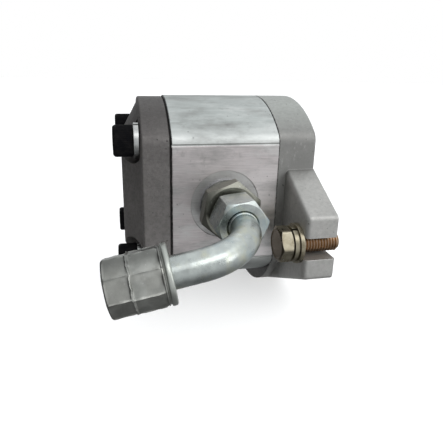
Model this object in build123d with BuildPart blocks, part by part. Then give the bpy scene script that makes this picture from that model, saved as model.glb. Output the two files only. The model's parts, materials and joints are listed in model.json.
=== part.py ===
"""External gear pump: three-piece housing, one gear pair on four bushes, a swivelling hose
elbow on the pressure port and two bolts in the open slots of the mounting flange.

Frame: the origin is where the drive shaft's axis meets the mounting face, +X runs out of the
mounting face along the shaft, and +Z is up. The pressure port looks along -Y. Millimetres.
"""
from build123d import *
import math
import os

os.makedirs("parts", exist_ok=True)

# ---- housing stack, along the shaft ------------------------------------------------------
flange_depth = 20.3
body_length = 55.6
rim_depth = 14.6              # rear cover, at its rim
dome_rise = 9.5               # rear cover, middle above the rim
rim_step = 3.5                # the dome's foot stands back from the rim's outline
rim_round = 1.2
dome_side = 22.0              # the dome's flat top stands this far inside the body's sides
dome_end = 21.0               # and this far inside its top and bottom
dome_round = 3.0
flange_rear = -flange_depth
body_rear = flange_rear - body_length
cover_rear = body_rear - rim_depth
body_middle = flange_rear - body_length / 2

# ---- housing outline, across the shaft ---------------------------------------------------
half_width = 45.0
half_height = 53.2
crown_radius = 62.0
corner_radius = 8.0
cast_inset = 0.7              # castings stand back from the machined body
edge_break = 0.5
gear_distance = 30.0
mid_height = gear_distance / 2
shaft_heights = (0.0, gear_distance)
pad_half_height = 31.0
pad_groove_radius = 0.8
pad_groove_out = 0.3          # the groove's middle lies outside the pad

# ---- mounting flange ---------------------------------------------------------------------
pilot_radius = 40.0
pilot_height = 6.5
pilot_chamfer = 0.8
flange_round_radius = 47.0
flange_edge_round = 1.5
ear_depth = 16.0
ear_reach = 74.4
ear_tip_half = 15.8
ear_root_width = 40.0
ear_root_half = 34.8
ear_heel_half = 22.0          # lower edge of the ears' plate, under the pilot
ear_heel_drop = 41.5
ear_corner = 2.5
ear_rear_round = 2.4
ear_front_round = 0.8
slot_width = 11.2
slot_run = 20.0               # from the stud past the ear's end
stud_spacing = 130.0

# ---- gears and shafts --------------------------------------------------------------------
gear_teeth = 12
gear_module = 2.5
gear_pressure = math.radians(25)
gear_width = 20.0
gear_backlash = 0.24
tip_radius = 17.3
root_radius = 12.2
chamber_radius = 17.6
journal_radius = 9.0
running_gap = 0.05
side_gap = 0.1
shaft_nose = 31.0
lead_radius = 8.5             # relieved end that leads the coupling onto the shaft
lead_length = 6.4
key_width = 6.0
key_length = 16.0
key_start = 8.0
key_seat = 5.5                # height of the keyway's floor above the shaft axis
key_fit = 0.02
key_chamfer = 0.4
shaft_chamfer = 1.0
journal_end_gap = 0.8
gear_rear = body_middle - gear_width / 2
gear_front = body_middle + gear_width / 2

# ---- bearing blocks and seals ------------------------------------------------------------
block_radius = 17.5
bush_radius = 10.5
bush_length = 16.4
bush_inset = 0.5
bush_fit = 0.01
relief_spacing = 15.0         # pockets that let trapped oil out of the mesh
relief_size = (7.0, 5.0)
relief_depth = 1.5
block_depth = (body_length - gear_width) / 2 - side_gap
seal_groove = (11.4, 14.6)    # radii of the pressure-seal groove
seal_groove_depth = 2.1
seal_lip_share = 1.5          # width of the backup ring beside the pressure seal
pressure_seal_depth = 1.9
backup_depth = 1.6
seal_bridge = 5.0
seal_fit = 0.1
body_seal = (20.6, 22.6)      # radii of the face-seal groove
body_seal_depth = 1.8
body_seal_squeeze = 0.05
pocket_radius = 16.0
pocket_floor = -5.5
circlip_rear = 2.0
circlip_thickness = 1.2
circlip_out = 0.9             # how far the circlip lies in its groove
circlip_in = 1.8
circlip_lug = 2.4             # the lugs' middle, inside the pocket's wall
circlip_lug_radius = 2.3
circlip_lug_hole = 1.0
circlip_gap = (4.4, 12.0)

# ---- fasteners ---------------------------------------------------------------------------
cover_bolt_y = 32.5
cover_bolt_z = 32.0
cover_bolt_length = 85.0
bolt_radius = 4.9
bolt_clearance = 5.5
cap_head_radius = 8.0
cap_head_height = 10.0
cap_head_chamfer = 0.7
cap_socket = 8.0
cover_bolt_reach = 14.0       # depth of its hole in the flange
bolt_seat = cover_rear - 0.4
seat_radius = 11.5
spring_washer = 2.8
dowel_radius = 3.0
dowel_length = 12.0
dowel_end_gap = 0.3
dowel_fit = 0.02
dowel_y = 35.0
hex_head_flats = 16.0
hex_head_height = 6.4
flat_washer = 2.0
lock_washer = 2.6
flat_washer_radii = (10.0, 5.25)
lock_washer_radii = (9.0, 5.15)
lock_washer_gap = 0.8
bolt_end_chamfer = 0.8
mount_bolt_length = 25.0
mount_thread_radius = 5.0
mount_shank_radius = 4.7      # thread drawn at its mean radius inside the flange
mount_thread_start = 0.3

# ---- ports, adapter, nut and elbow -------------------------------------------------------
pressure_port_radius = 10.45
suction_port_radius = 13.2
port_depth = 16.0
port_spotface = (18.0, 22.0)  # radii, pressure and suction side
spotface_depth = 0.5
passage_radius = 6.5
suction_passage_radius = 8.5
port_face = half_width - spotface_depth
seal_ring = 2.0
seal_ring_radius = 13.6
passage_end = 6.0             # the passages stop this far from the shaft axis plane
port_fit = 0.1
adapter_flats = 27.5
adapter_turn = 19.5
adapter_bevels = (1.6, 1.9)
adapter_collar = 12.9         # round collar between the seal ring and the hexagon
adapter_rear = half_width + 5.5
adapter_front = half_width + 13.9
nut_flats = 22.0
nut_turn = 7.0
nut_bevels = (1.2, 1.8)
nut_hole_radius = 7.1
nut_rear = half_width + 17.0
nut_front = half_width + 33.0
nut_wall = 4.0
nut_thread_radius = 9.0
adapter_thread_length = 11.0
shoulder_radius = 7.4
shoulder_length = 7.0
cone_groove = (6.2, 2.0)      # floor radius and width of the elbow's O-ring groove
tube_radius = 6.35
tube_bore = 4.7
cone_seat = 66.0
leg_reach = 103.1             # distance of the elbow's free leg from the shaft axis plane
bend_radius = 24.0
leg_drop = math.radians(10.5)
ferrule_start = 35.0
ferrule_length = 24.0
ferrule_radius = 11.75
ferrule_bore = 9.7
ferrule_lip = 4.0             # length of the ferrule's neck on the tube
ferrule_flats = 8
ferrule_flat_depth = 0.35
ferrule_flat_start = 12.0
ferrule_round = 1.0
tail_radius = 4.5
tail_bore = 3.2
tail_start = ferrule_start + 5
barb_rise = 0.3
barb_length = 1.6
barb_pitch = 4.2


def cross_plane(x, z=0.0):
    """Plane square to the shaft at x: local X is +Y, local Y is +Z, and the normal is +X."""
    return Plane(origin=(x, 0, z), x_dir=(0, 1, 0), z_dir=(1, 0, 0))


def port_plane(reach, side=-1):
    """Plane square to the port axis, reach away from the shaft axis, normal pointing out."""
    return Plane(origin=(body_middle, side * reach, mid_height), x_dir=(-side, 0, 0), z_dir=(0, side, 0))


def crowned_outline(half_w, half_h, crown, corner):
    """Housing outline: straight sides, crowned top and bottom, rounded corners."""
    with BuildSketch(mode=Mode.PRIVATE) as outline:
        Rectangle(2 * half_w, 2 * half_h)
        for end in (-1, 1):
            with Locations((0, end * (half_h - crown))):
                Circle(crown, mode=Mode.INTERSECT)
        fillet(outline.vertices(), corner)
    return outline.sketch


def paired_rings(outer, inner=None):
    """Figure-eight face about both shaft axes, as a ring if an inner radius is given."""
    with BuildSketch(mode=Mode.PRIVATE) as eight:
        with Locations(*[(0, height) for height in shaft_heights]):
            Circle(outer)
        if inner:
            with Locations(*[(0, height) for height in shaft_heights]):
                Circle(inner, mode=Mode.SUBTRACT)
    return eight.sketch


def bridged_rings(outer, inner):
    """A ring about each shaft axis, joined by a short bar where they meet."""
    with BuildSketch(mode=Mode.PRIVATE) as rings:
        add(paired_rings(outer, inner))
        with Locations((0, mid_height)):
            Rectangle(seal_bridge, gear_distance - 2 * inner)
        with Locations(*[(0, height) for height in shaft_heights]):
            Circle(inner, mode=Mode.SUBTRACT)
    return rings.sketch


def oval_ring(outer, inner):
    """Oval ring around both shaft axes."""
    with BuildSketch(mode=Mode.PRIVATE) as oval:
        with Locations((0, mid_height)):
            SlotCenterToCenter(gear_distance, 2 * outer, rotation=90)
            SlotCenterToCenter(gear_distance, 2 * inner, rotation=90, mode=Mode.SUBTRACT)
    return oval.sketch


def slit_ring(outer, inner, gap):
    """Flat ring cut through once, as a split lock washer is."""
    with BuildSketch(mode=Mode.PRIVATE) as ring:
        Circle(outer)
        Circle(inner, mode=Mode.SUBTRACT)
        with Locations((0, outer)):
            Rectangle(gap, 2 * outer, rotation=20, mode=Mode.SUBTRACT)
    return ring.sketch


def cover_bolt_places():
    """The four cover bolts, about the middle of the housing."""
    return GridLocations(2 * cover_bolt_y, 2 * cover_bolt_z, 2, 2)


def dowel_places():
    return GridLocations(2 * dowel_y, 0, 2, 1)


def stud_places():
    return GridLocations(stud_spacing, 0, 2, 1)


def flange_round():
    """Round lower end of the flange, about the drive shaft, kept inside the flange's flat sides."""
    with BuildSketch(mode=Mode.PRIVATE) as lower:
        with Locations((0, -mid_height)):
            Circle(flange_round_radius)
            Rectangle(2 * (half_width - cast_inset), 2 * flange_round_radius, mode=Mode.INTERSECT)
    return lower.sketch


def save(piece, name):
    piece.part.label = name
    export_step(piece.part, f"parts/{name}.step")


# ==== housing =============================================================================
with BuildPart() as pump_body:
    with BuildSketch(cross_plane(body_rear, mid_height)):
        add(crowned_outline(half_width, half_height, crown_radius, corner_radius))
    extrude(amount=body_length)
    chamfer(pump_body.faces().filter_by(Axis.X).edges(), edge_break)
    # a narrow groove ends the milled port pad, above and below it
    with BuildSketch(cross_plane(body_rear, mid_height)):
        with GridLocations(2 * (half_width + pad_groove_out), 2 * pad_half_height, 2, 2):
            Circle(pad_groove_radius)
    extrude(amount=body_length, mode=Mode.SUBTRACT)
    with BuildSketch(cross_plane(body_rear)):
        add(paired_rings(chamber_radius))
    extrude(amount=body_length, mode=Mode.SUBTRACT)
    with BuildSketch(cross_plane(body_rear, mid_height)):
        with cover_bolt_places():
            Circle(bolt_clearance)
    extrude(amount=body_length, mode=Mode.SUBTRACT)
    for face_x, inward in ((body_rear, 1), (flange_rear, -1)):
        with BuildSketch(cross_plane(face_x, mid_height)):
            with dowel_places():
                Circle(dowel_radius)
        extrude(amount=inward * (dowel_length / 2 + dowel_end_gap), mode=Mode.SUBTRACT)
    ports = ((-1, pressure_port_radius, passage_radius, port_spotface[0]),
             (1, suction_port_radius, suction_passage_radius, port_spotface[1]))
    for side, bore, passage, spot in ports:
        with BuildSketch(port_plane(half_width, side)):
            Circle(spot)
        extrude(amount=-spotface_depth, mode=Mode.SUBTRACT)
        with BuildSketch(port_plane(half_width, side)):
            Circle(bore)
        extrude(amount=-port_depth, mode=Mode.SUBTRACT)
        with BuildSketch(port_plane(half_width, side)):
            Circle(passage)
        extrude(amount=-(half_width - passage_end), mode=Mode.SUBTRACT)
save(pump_body, "pump_body")

with BuildPart() as rear_cover:
    with BuildSketch(cross_plane(cover_rear, mid_height)):
        add(crowned_outline(half_width - cast_inset, half_height - cast_inset, crown_radius, corner_radius))
    extrude(amount=rim_depth)
    chamfer(rear_cover.faces().sort_by(Axis.X)[-1].edges(), 2 * edge_break)
    fillet(rear_cover.faces().sort_by(Axis.X)[0].edges(), rim_round)
    with BuildSketch(cross_plane(cover_rear, mid_height)):
        add(crowned_outline(half_width - rim_step, half_height - rim_step, crown_radius - 4, corner_radius))
    with BuildSketch(cross_plane(cover_rear - dome_rise, mid_height)):
        add(crowned_outline(half_width - dome_side, half_height - dome_end, crown_radius - 18,
                            corner_radius))
    loft(ruled=True)
    fillet(rear_cover.faces().sort_by(Axis.X)[0].edges(), dome_round)
    with BuildSketch(cross_plane(bolt_seat, mid_height)):
        with cover_bolt_places():
            Circle(seat_radius)
    extrude(amount=-dome_rise, mode=Mode.SUBTRACT)
    with BuildSketch(cross_plane(bolt_seat, mid_height)):
        with cover_bolt_places():
            Circle(bolt_clearance)
    extrude(amount=rim_depth + 1, mode=Mode.SUBTRACT)
    with BuildSketch(cross_plane(body_rear)):
        add(oval_ring(body_seal[1], body_seal[0]))
    extrude(amount=-body_seal_depth, mode=Mode.SUBTRACT)
    with BuildSketch(cross_plane(body_rear, mid_height)):
        with dowel_places():
            Circle(dowel_radius)
    extrude(amount=-(dowel_length / 2 + dowel_end_gap), mode=Mode.SUBTRACT)
save(rear_cover, "rear_cover")

# both ears are one long plate through the flange, with cast roundings all round
with BuildPart() as ear_plate:
    with BuildSketch(cross_plane(-ear_depth)) as ears:
        with BuildLine():
            Polyline((-ear_root_width, ear_root_half), (-ear_reach, ear_tip_half),
                     (-ear_reach, -ear_tip_half), (-ear_heel_half, -ear_heel_drop),
                     (ear_heel_half, -ear_heel_drop), (ear_reach, -ear_tip_half),
                     (ear_reach, ear_tip_half), (ear_root_width, ear_root_half), close=True)
        make_face()
        fillet(ears.vertices().group_by(Axis.X)[0] + ears.vertices().group_by(Axis.X)[-1], ear_corner)
    extrude(amount=ear_depth)
    fillet(ear_plate.faces().sort_by(Axis.X)[0].edges(), ear_rear_round)
    fillet(ear_plate.faces().sort_by(Axis.X)[-1].edges(), ear_front_round)

with BuildPart() as front_flange:
    with BuildSketch(cross_plane(flange_rear, mid_height)):
        add(crowned_outline(half_width - cast_inset, half_height, crown_radius, corner_radius))
        add(flange_round())
    extrude(amount=flange_depth)
    fillet(front_flange.faces().sort_by(Axis.X)[-1].edges(), flange_edge_round)
    add(ear_plate.part)
    with BuildSketch(cross_plane(0)):
        Circle(pilot_radius)
    extrude(amount=pilot_height)
    chamfer(front_flange.faces().sort_by(Axis.X)[-1].edges(), pilot_chamfer)
    with BuildSketch(cross_plane(-ear_depth)):
        with stud_places():
            Circle(slot_width / 2)
        for side in (-1, 1):
            with Locations((side * (stud_spacing + slot_run) / 2, 0)):
                Rectangle(slot_run, slot_width)
    extrude(amount=ear_depth, mode=Mode.SUBTRACT)
    with BuildSketch(cross_plane(flange_rear, mid_height)):
        with cover_bolt_places():
            Circle(bolt_radius + port_fit)
    extrude(amount=cover_bolt_reach, mode=Mode.SUBTRACT)
    with BuildSketch(cross_plane(flange_rear)):
        Circle(bush_radius)
    extrude(amount=flange_depth, mode=Mode.SUBTRACT)
    with BuildSketch(cross_plane(pocket_floor)):
        Circle(pocket_radius)
    extrude(amount=pilot_height - pocket_floor, mode=Mode.SUBTRACT)
    with BuildSketch(cross_plane(circlip_rear)):
        Circle(pocket_radius + circlip_out + seal_fit)
    extrude(amount=circlip_thickness + seal_fit, mode=Mode.SUBTRACT)
    with BuildSketch(cross_plane(flange_rear)):
        add(oval_ring(body_seal[1], body_seal[0]))
    extrude(amount=body_seal_depth, mode=Mode.SUBTRACT)
    with BuildSketch(cross_plane(flange_rear, mid_height)):
        with dowel_places():
            Circle(dowel_radius)
    extrude(amount=dowel_length / 2 + dowel_end_gap, mode=Mode.SUBTRACT)
save(front_flange, "front_flange")


# ==== bearing blocks, bushes and face seals ===============================================
def bearing_block(inner_x, outward):
    """Figure-eight thrust block from its gear face towards the housing's end."""
    with BuildPart() as block:
        with BuildSketch(cross_plane(inner_x)):
            add(paired_rings(block_radius))
            with Locations(*[(0, height) for height in shaft_heights]):
                Circle(bush_radius, mode=Mode.SUBTRACT)
        extrude(amount=outward * block_depth)
        # relief pockets that let trapped oil out of the mesh
        with BuildSketch(cross_plane(inner_x, mid_height)):
            with GridLocations(relief_spacing, 0, 2, 1):
                Rectangle(*relief_size)
        extrude(amount=outward * relief_depth, mode=Mode.SUBTRACT)
        with BuildSketch(cross_plane(inner_x + outward * block_depth)):
            add(bridged_rings(seal_groove[1], seal_groove[0]))
        extrude(amount=-outward * seal_groove_depth, mode=Mode.SUBTRACT)
    return block


def bush_pair(inner_x, outward):
    """Two plain bushes, one for each shaft."""
    with BuildPart() as bushes:
        with BuildSketch(cross_plane(inner_x + outward * bush_inset)):
            with Locations(*[(0, height) for height in shaft_heights]):
                Circle(bush_radius - bush_fit)
                Circle(journal_radius + running_gap, mode=Mode.SUBTRACT)
        extrude(amount=outward * bush_length)
    return bushes


def seal_from(outline, face_x, depth):
    """Flat seal of this outline, from its face to the depth given."""
    with BuildPart() as seal:
        with BuildSketch(cross_plane(face_x)):
            add(outline)
        extrude(amount=depth)
    return seal


ends = (("front", gear_front + side_gap, 1, flange_rear), ("rear", gear_rear - side_gap, -1, body_rear))
for end_name, inner_x, outward, face_x in ends:
    block_outer = inner_x + outward * block_depth
    save(bearing_block(inner_x, outward), f"{end_name}_bearing_block")
    save(bush_pair(inner_x, outward), f"{end_name}_bushes")
    lip_start = seal_groove[0] + seal_lip_share
    save(seal_from(bridged_rings(seal_groove[1] - seal_fit, lip_start), block_outer,
                   -outward * pressure_seal_depth),
         f"{end_name}_pressure_seal")
    save(seal_from(paired_rings(lip_start - seal_fit, seal_groove[0] + seal_fit), block_outer,
                   -outward * backup_depth),
         f"{end_name}_seal_backups")
    save(seal_from(oval_ring(body_seal[1] - seal_fit, body_seal[0] + seal_fit), face_x,
                   outward * (body_seal_depth - body_seal_squeeze)), f"{end_name}_body_seal")


# ==== gears, shafts and key ===============================================================
pitch_radius = gear_module * gear_teeth / 2
base_radius = pitch_radius * math.cos(gear_pressure)
pitch_half_tooth = (math.pi * gear_module / 4 - gear_backlash / 2) / pitch_radius


def involute(angle):
    return math.tan(angle) - angle


def half_tooth(radius):
    """Half the angle that a tooth fills at this radius, in radians."""
    return pitch_half_tooth + involute(gear_pressure) - involute(math.acos(base_radius / radius))


def gear_face(first_tooth):
    """Gear outline; first_tooth is the angle of one tooth's centre line, in radians."""
    flank_radii = (base_radius, (base_radius + tip_radius) / 2, tip_radius)

    def at(radius, angle):
        return (radius * math.cos(angle), radius * math.sin(angle))

    pitch_angle = 2 * math.pi / gear_teeth
    root_half = half_tooth(base_radius)
    with BuildSketch(mode=Mode.PRIVATE) as face:
        with BuildLine():
            for tooth in range(gear_teeth):
                middle = first_tooth + tooth * pitch_angle
                rising = [at(radius, middle - half_tooth(radius)) for radius in flank_radii]
                falling = [at(radius, middle + half_tooth(radius)) for radius in reversed(flank_radii)]
                Line(at(root_radius, middle - root_half), rising[0])
                ThreePointArc(*rising)
                ThreePointArc(rising[2], at(tip_radius, middle), falling[0])
                ThreePointArc(*falling)
                Line(falling[2], at(root_radius, middle + root_half))
                ThreePointArc(at(root_radius, middle + root_half),
                              at(root_radius, middle + pitch_angle / 2),
                              at(root_radius, middle + pitch_angle - root_half))
        make_face()
    return face.sketch


journal_rear = body_rear + journal_end_gap
tooth_up = math.pi / 2
with BuildPart() as drive_gear_shaft:
    with BuildSketch(cross_plane(journal_rear)):
        Circle(journal_radius)
    extrude(amount=shaft_nose - lead_length - journal_rear)
    chamfer(drive_gear_shaft.faces().sort_by(Axis.X)[0].edges(), shaft_chamfer)
    with BuildSketch(cross_plane(shaft_nose - lead_length)):
        Circle(lead_radius)
    extrude(amount=lead_length)
    chamfer(drive_gear_shaft.faces().sort_by(Axis.X)[-1].edges(), shaft_chamfer)
    with BuildSketch(cross_plane(gear_rear)):
        add(gear_face(tooth_up))
    extrude(amount=gear_width)
    with BuildSketch(Plane.XY.offset(key_seat)):
        with Locations((key_start + key_length / 2, 0)):
            SlotOverall(key_length, key_width)
    extrude(amount=journal_radius, mode=Mode.SUBTRACT)
save(drive_gear_shaft, "drive_gear_shaft")

with BuildPart() as driven_gear_shaft:
    with BuildSketch(cross_plane(journal_rear, gear_distance)):
        Circle(journal_radius)
    extrude(amount=flange_rear - journal_end_gap - journal_rear)
    chamfer(driven_gear_shaft.faces().filter_by(Axis.X).edges(), shaft_chamfer)
    with BuildSketch(cross_plane(gear_rear, gear_distance)):
        add(gear_face(tooth_up + math.pi / gear_teeth))
    extrude(amount=gear_width)
save(driven_gear_shaft, "driven_gear_shaft")

with BuildPart() as shaft_key:
    with BuildSketch(Plane.XY.offset(key_seat + key_fit)):
        with Locations((key_start + key_length / 2, 0)):
            SlotOverall(key_length - 5 * key_fit, key_width - 2 * key_fit)
    extrude(amount=key_width)
    chamfer(shaft_key.faces().sort_by(Axis.Z)[-1].edges(), key_chamfer)
save(shaft_key, "shaft_key")


# ==== shaft seal and circlip ==============================================================
seal_front = circlip_rear - seal_fit
seal_rear = pocket_floor + seal_fit
case_wall = 1.2
case_bore = 11.5
case_outside = pocket_radius - 0.02
case_inside = pocket_radius - case_wall
lip_radius = journal_radius + running_gap
with BuildPart() as shaft_seal_case:
    with BuildSketch(Plane.XY):
        with BuildLine():
            Polyline((seal_rear, case_outside), (seal_front, case_outside), (seal_front, case_bore),
                     (seal_front - case_wall, case_bore), (seal_front - case_wall, case_inside),
                     (seal_rear, case_inside), close=True)
        make_face()
    revolve(axis=Axis.X)
save(shaft_seal_case, "shaft_seal_case")

spring_x = pocket_floor + 2.2
spring_ring_radius = lip_radius + 2.3
spring_wire_radius = 0.8
rubber_front = seal_front - case_wall - 0.02
rubber_rear = seal_rear + 0.5
rubber_outside = case_inside - 0.02
rubber_neck = lip_radius + 2.6
dust_lip_rise = 0.6
lip_bevel = (1.2, 1.0)        # along the shaft and outwards, each side of the lip's edge
web_front = seal_front - 2.8  # front of the thin web that joins the lip to the case
with BuildPart() as shaft_seal_lip:
    with BuildSketch(Plane.XY):
        with BuildLine():
            Polyline((rubber_front, rubber_outside), (rubber_front, lip_radius + dust_lip_rise),
                     (web_front, lip_radius + dust_lip_rise),
                     (spring_x + lip_bevel[0], lip_radius + lip_bevel[1]), (spring_x, lip_radius),
                     (rubber_rear, lip_radius + lip_bevel[1]), (rubber_rear, rubber_neck),
                     (web_front, rubber_neck), (web_front, rubber_outside), close=True)
        make_face()
        with Locations((spring_x, spring_ring_radius)):
            Circle(spring_wire_radius + running_gap, mode=Mode.SUBTRACT)
    revolve(axis=Axis.X)
save(shaft_seal_lip, "shaft_seal_lip")

with BuildPart() as garter_spring:
    with BuildSketch(Plane.XY):
        with Locations((spring_x, spring_ring_radius)):
            Circle(spring_wire_radius)
    revolve(axis=Axis.X)
save(garter_spring, "garter_spring")

lug_angles = {"start_angle": 252, "angular_range": 36, "endpoint": True}
with BuildPart() as seal_circlip:
    with BuildSketch(cross_plane(circlip_rear + running_gap)):
        Circle(pocket_radius + circlip_out)
        Circle(pocket_radius - circlip_in, mode=Mode.SUBTRACT)
        with PolarLocations(pocket_radius - circlip_lug, 2, **lug_angles):
            Circle(circlip_lug_radius)
        with Locations((0, -pocket_radius)):
            Rectangle(*circlip_gap, mode=Mode.SUBTRACT)
        with PolarLocations(pocket_radius - circlip_lug, 2, **lug_angles):
            Circle(circlip_lug_hole, mode=Mode.SUBTRACT)
    extrude(amount=circlip_thickness)
save(seal_circlip, "seal_circlip")


# ==== dowels, cover bolts and washers =====================================================
with BuildPart() as dowel_pins:
    for joint_x in (body_rear, flange_rear):
        with BuildSketch(cross_plane(joint_x - dowel_length / 2, mid_height)):
            with dowel_places():
                Circle(dowel_radius - dowel_fit)
        extrude(amount=dowel_length)
save(dowel_pins, "dowel_pins")

cap_seat = bolt_seat - spring_washer
with BuildPart() as cover_bolts:
    with BuildSketch(cross_plane(cap_seat, mid_height)):
        with cover_bolt_places():
            Circle(cap_head_radius)
    extrude(amount=-cap_head_height)
    chamfer(cover_bolts.faces().group_by(Axis.X)[0].edges(), cap_head_chamfer)
    with BuildSketch(cross_plane(cap_seat, mid_height)):
        with cover_bolt_places():
            Circle(bolt_radius)
    extrude(amount=cover_bolt_length)
    with BuildSketch(cross_plane(cap_seat - cap_head_height, mid_height)):
        with cover_bolt_places():
            RegularPolygon(cap_socket / 2, 6, major_radius=False)
    extrude(amount=cap_head_height / 2, mode=Mode.SUBTRACT)
save(cover_bolts, "cover_bolts")

with BuildPart() as cover_bolt_washers:
    with BuildSketch(cross_plane(bolt_seat, mid_height)):
        with cover_bolt_places():
            add(slit_ring(*lock_washer_radii, lock_washer_gap))
    extrude(amount=-spring_washer)
save(cover_bolt_washers, "cover_bolt_washers")


# ==== pressure port: adapter, seal, nut, elbow, ferrule ===================================
port_axis = Axis((body_middle, 0, mid_height), (0, 1, 0))
port_section = Plane(origin=(body_middle, 0, mid_height), x_dir=(1, 0, 0), z_dir=(0, 0, 1))


def turned_hexagon(flats, near, far, bevels, turn):
    """Hexagon bar along the port axis, both ends turned to a cone at the corners."""
    near_bevel, far_bevel = bevels
    corner = flats / math.sqrt(3) + 1
    slope = math.tan(math.radians(60))
    with BuildPart(mode=Mode.PRIVATE) as bar:
        with BuildSketch(port_plane(near)):
            RegularPolygon(flats / 2, 6, major_radius=False, rotation=turn)
        extrude(amount=far - near)
        with BuildSketch(port_section):
            with BuildLine():
                Polyline((0, -near), (corner - slope * near_bevel, -near), (corner, -near - near_bevel),
                         (corner, -far + far_bevel), (corner - slope * far_bevel, -far), (0, -far),
                         close=True)
            make_face()
        revolve(axis=port_axis, mode=Mode.INTERSECT)
    return bar.part


stud_end = half_width - port_depth + 1
with BuildPart() as port_adapter:
    add(turned_hexagon(adapter_flats, adapter_rear, adapter_front, adapter_bevels, adapter_turn))
    with BuildSketch(port_plane(port_face + seal_ring)):
        Circle(adapter_collar)
    extrude(amount=adapter_rear - port_face - seal_ring)
    with BuildSketch(port_plane(stud_end)):
        Circle(pressure_port_radius - running_gap)
    extrude(amount=port_depth + seal_ring)
    with BuildSketch(port_plane(adapter_front)):
        Circle(nut_thread_radius - port_fit)
    extrude(amount=adapter_thread_length)
    with BuildSketch(port_plane(stud_end)):
        Circle(tube_bore + 0.3)
    extrude(amount=adapter_front + adapter_thread_length - stud_end, mode=Mode.SUBTRACT)
    with BuildSketch(port_plane(cone_seat - 0.5)):
        Circle(shoulder_radius + 0.2)
    extrude(amount=adapter_thread_length, mode=Mode.SUBTRACT)
save(port_adapter, "port_adapter")

with BuildPart() as adapter_seal:
    with BuildSketch(port_plane(port_face)):
        Circle(seal_ring_radius)
        Circle(pressure_port_radius + port_fit, mode=Mode.SUBTRACT)
    extrude(amount=seal_ring)
save(adapter_seal, "adapter_seal")

with BuildPart() as swivel_nut:
    add(turned_hexagon(nut_flats, nut_rear, nut_front, nut_bevels, nut_turn))
    with BuildSketch(port_plane(nut_rear)):
        Circle(nut_thread_radius)
    extrude(amount=nut_front - nut_rear - nut_wall, mode=Mode.SUBTRACT)
    with BuildSketch(port_plane(nut_rear)):
        Circle(nut_hole_radius)
    extrude(amount=nut_front - nut_rear, mode=Mode.SUBTRACT)
save(swivel_nut, "swivel_nut")

# the elbow lies in the plane of the port axis and the falling direction of its free leg
leg_direction = Vector(-math.cos(leg_drop), 0, -math.sin(leg_drop))
elbow_plane = Plane(origin=(body_middle, 0, mid_height), x_dir=leg_direction,
                    z_dir=(-math.sin(leg_drop), 0, math.cos(leg_drop)))


def leg_plane(along):
    """Plane square to the elbow's free leg, its normal pointing to the hose."""
    return Plane(origin=elbow_plane.from_local_coords(Vector(along, leg_reach, 0)),
                 x_dir=(0, -1, 0), z_dir=leg_direction)


with BuildPart() as elbow_tube:
    with BuildLine(elbow_plane):
        Line((0, cone_seat), (0, leg_reach - bend_radius))
        RadiusArc((0, leg_reach - bend_radius), (bend_radius, leg_reach), bend_radius)
        Line((bend_radius, leg_reach), (tail_start, leg_reach))
    with BuildSketch(port_plane(cone_seat)):
        Circle(tube_radius)
    sweep()
    # shoulder that the nut pulls against, with its O-ring groove
    with BuildSketch(port_plane(cone_seat)):
        Circle(shoulder_radius)
    extrude(amount=shoulder_length)
    with BuildSketch(port_plane(cone_seat + 1)):
        Circle(shoulder_radius + 1)
        Circle(cone_groove[0], mode=Mode.SUBTRACT)
    extrude(amount=cone_groove[1], mode=Mode.SUBTRACT)
    # barbed tail that the hose grips
    with BuildSketch(leg_plane(tail_start)):
        Circle(tail_radius)
    extrude(amount=ferrule_length - 6.5)
    for barb in range(3):
        with BuildSketch(leg_plane(tail_start + ferrule_lip + barb_pitch * barb)):
            Circle(tail_radius + barb_rise)
        extrude(amount=barb_length)
    with BuildLine(elbow_plane):
        Line((0, cone_seat), (0, leg_reach - bend_radius))
        RadiusArc((0, leg_reach - bend_radius), (bend_radius, leg_reach), bend_radius)
        Line((bend_radius, leg_reach), (ferrule_start + 2, leg_reach))
    with BuildSketch(port_plane(cone_seat)):
        Circle(tube_bore)
    sweep(mode=Mode.SUBTRACT)
    with BuildSketch(leg_plane(ferrule_start)):
        Circle(tail_bore)
    extrude(amount=ferrule_length, mode=Mode.SUBTRACT)
save(elbow_tube, "elbow_tube")

with BuildPart() as cone_seal:
    with BuildSketch(port_plane(cone_seat + 1 + running_gap)):
        Circle(shoulder_radius + 3 * running_gap)
        Circle(cone_groove[0] + running_gap, mode=Mode.SUBTRACT)
    extrude(amount=cone_groove[1] - 2 * running_gap)
save(cone_seal, "cone_seal")

with BuildPart() as crimp_ferrule:
    with BuildSketch(leg_plane(ferrule_start)):
        Circle(ferrule_radius)
    extrude(amount=ferrule_length)
    with BuildSketch(leg_plane(ferrule_start + ferrule_flat_start)):
        Circle(ferrule_radius + 1)
        RegularPolygon(ferrule_radius - ferrule_flat_depth, ferrule_flats, major_radius=False,
                       mode=Mode.SUBTRACT)
    extrude(amount=ferrule_length, mode=Mode.SUBTRACT)
    fillet(crimp_ferrule.edges().group_by(SortBy.DISTANCE)[0], ferrule_round)
    with BuildSketch(leg_plane(ferrule_start)):
        Circle(tube_radius + running_gap)
    extrude(amount=ferrule_length, mode=Mode.SUBTRACT)
    with BuildSketch(leg_plane(ferrule_start + ferrule_lip)):
        Circle(ferrule_bore)
    extrude(amount=ferrule_length, mode=Mode.SUBTRACT)
save(crimp_ferrule, "crimp_ferrule")


# ==== mounting bolts and washers ==========================================================
flat_seat = -ear_depth - flat_washer
head_seat = flat_seat - lock_washer
with BuildPart() as mounting_flat_washers:
    with BuildSketch(cross_plane(-ear_depth)):
        with stud_places():
            Circle(flat_washer_radii[0])
            Circle(flat_washer_radii[1], mode=Mode.SUBTRACT)
    extrude(amount=-flat_washer)
save(mounting_flat_washers, "mounting_flat_washers")

with BuildPart() as mounting_spring_washers:
    with BuildSketch(cross_plane(flat_seat)):
        with stud_places():
            add(slit_ring(*lock_washer_radii, lock_washer_gap))
    extrude(amount=-lock_washer)
save(mounting_spring_washers, "mounting_spring_washers")

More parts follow.
